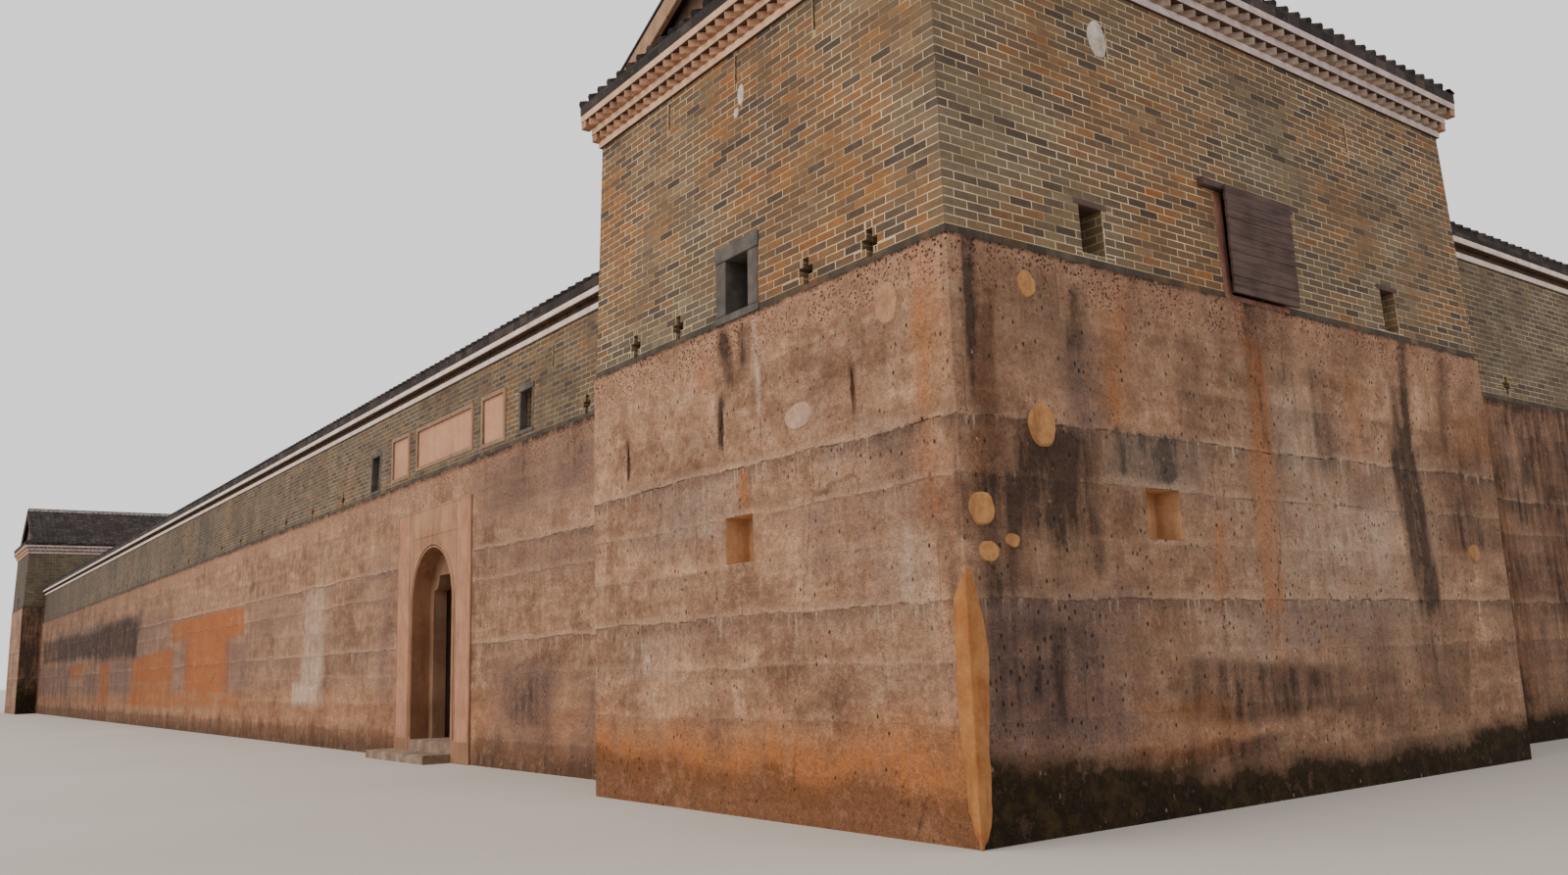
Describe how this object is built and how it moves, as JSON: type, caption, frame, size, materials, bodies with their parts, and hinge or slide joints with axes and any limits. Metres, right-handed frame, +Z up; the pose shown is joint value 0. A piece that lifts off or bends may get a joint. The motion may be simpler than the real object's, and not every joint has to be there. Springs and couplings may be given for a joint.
{
  "type": "walled village with corner towers, 1:2 scale model",
  "caption": "Rectangular walled village of rammed earth and brick with corner towers, an arched gate and tiled rooms round an open court; 1:2 scale model.",
  "frame": {"origin": "middle of the footprint, on the ground", "axes": "+X to the right as seen from the front, +Y from the front wall to the back wall, +Z up"},
  "size_m": [36.6912, 25.6312, 5.372],
  "materials": {
    "rammed_earth": "rough rammed earth and lime, stained",
    "grey_brick": "matt fired brick with pale lime joints",
    "lime_plaster": "smooth lime plaster, weathered",
    "roof_tile": "dark unglazed clay tile",
    "timber": "weathered dark timber",
    "stone": "dressed grey stone"
  },
  "bodies": {
    "building": {"front_right_tower_earth_walls": "rammed_earth", "front_right_tower_floor": "timber", "front_right_tower_brick_walls": "grey_brick", "front_right_tower_cornice": "lime_plaster", "front_right_tower_roof": "roof_tile", "front_left_tower_earth_walls": "rammed_earth", "front_left_tower_floor": "timber", "front_left_tower_brick_walls": "grey_brick", "front_left_tower_cornice": "lime_plaster", "front_left_tower_roof": "roof_tile", "back_right_tower_earth_walls": "rammed_earth", "back_right_tower_floor": "timber", "back_right_tower_brick_walls": "grey_brick", "back_right_tower_cornice": "lime_plaster", "back_right_tower_roof": "roof_tile", "back_left_tower_earth_walls": "rammed_earth", "back_left_tower_floor": "timber", "back_left_tower_brick_walls": "grey_brick", "back_left_tower_cornice": "lime_plaster", "back_left_tower_roof": "roof_tile", "front_wall_brick": "grey_brick", "front_wall_cornice": "lime_plaster", "front_range_roof": "roof_tile", "front_court_wall_left": "grey_brick", "front_court_wall_right": "grey_brick", "back_wall_brick": "grey_brick", "back_wall_cornice": "lime_plaster", "back_range_roof": "roof_tile", "back_court_wall_left": "grey_brick", "back_court_wall_right": "grey_brick", "right_wall_brick": "grey_brick", "right_wall_cornice": "lime_plaster", "right_range_roof": "roof_tile", "right_court_wall": "grey_brick", "right_wall_earth": "rammed_earth", "left_wall_brick": "grey_brick", "left_wall_cornice": "lime_plaster", "left_range_roof": "roof_tile", "left_court_wall": "grey_brick", "left_wall_earth": "rammed_earth", "back_wall_earth": "rammed_earth", "front_wall_earth_right": "rammed_earth", "front_wall_earth_left": "rammed_earth", "front_wall_earth_over_gate": "rammed_earth", "front_range_floor": "timber", "gate_surround": "lime_plaster", "gate_frame_head": "lime_plaster", "gate_frame_jamb_left": "lime_plaster", "gate_frame_jamb_right": "lime_plaster", "gate_threshold": "stone", "name_panel": "lime_plaster", "side_panel_right": "lime_plaster", "side_panel_left": "lime_plaster", "shutter_rail": "timber", "shutter": "timber"},
    "left_leaf": {"gate_leaf_left": "timber"},
    "right_leaf": {"gate_leaf_right": "timber"}
  },
  "joints": [
    {"name": "left_leaf_hinge", "type": "hinge", "parent": "building", "child": "left_leaf", "pos_m": [11.445, -12.0275, 0.15], "axis": [0, 0, -1], "range_deg": [0, 90]},
    {"name": "right_leaf_hinge", "type": "hinge", "parent": "building", "child": "right_leaf", "pos_m": [12.205, -12.0275, 0.15], "axis": [0, 0, 1], "range_deg": [0, 90]}
  ]
}
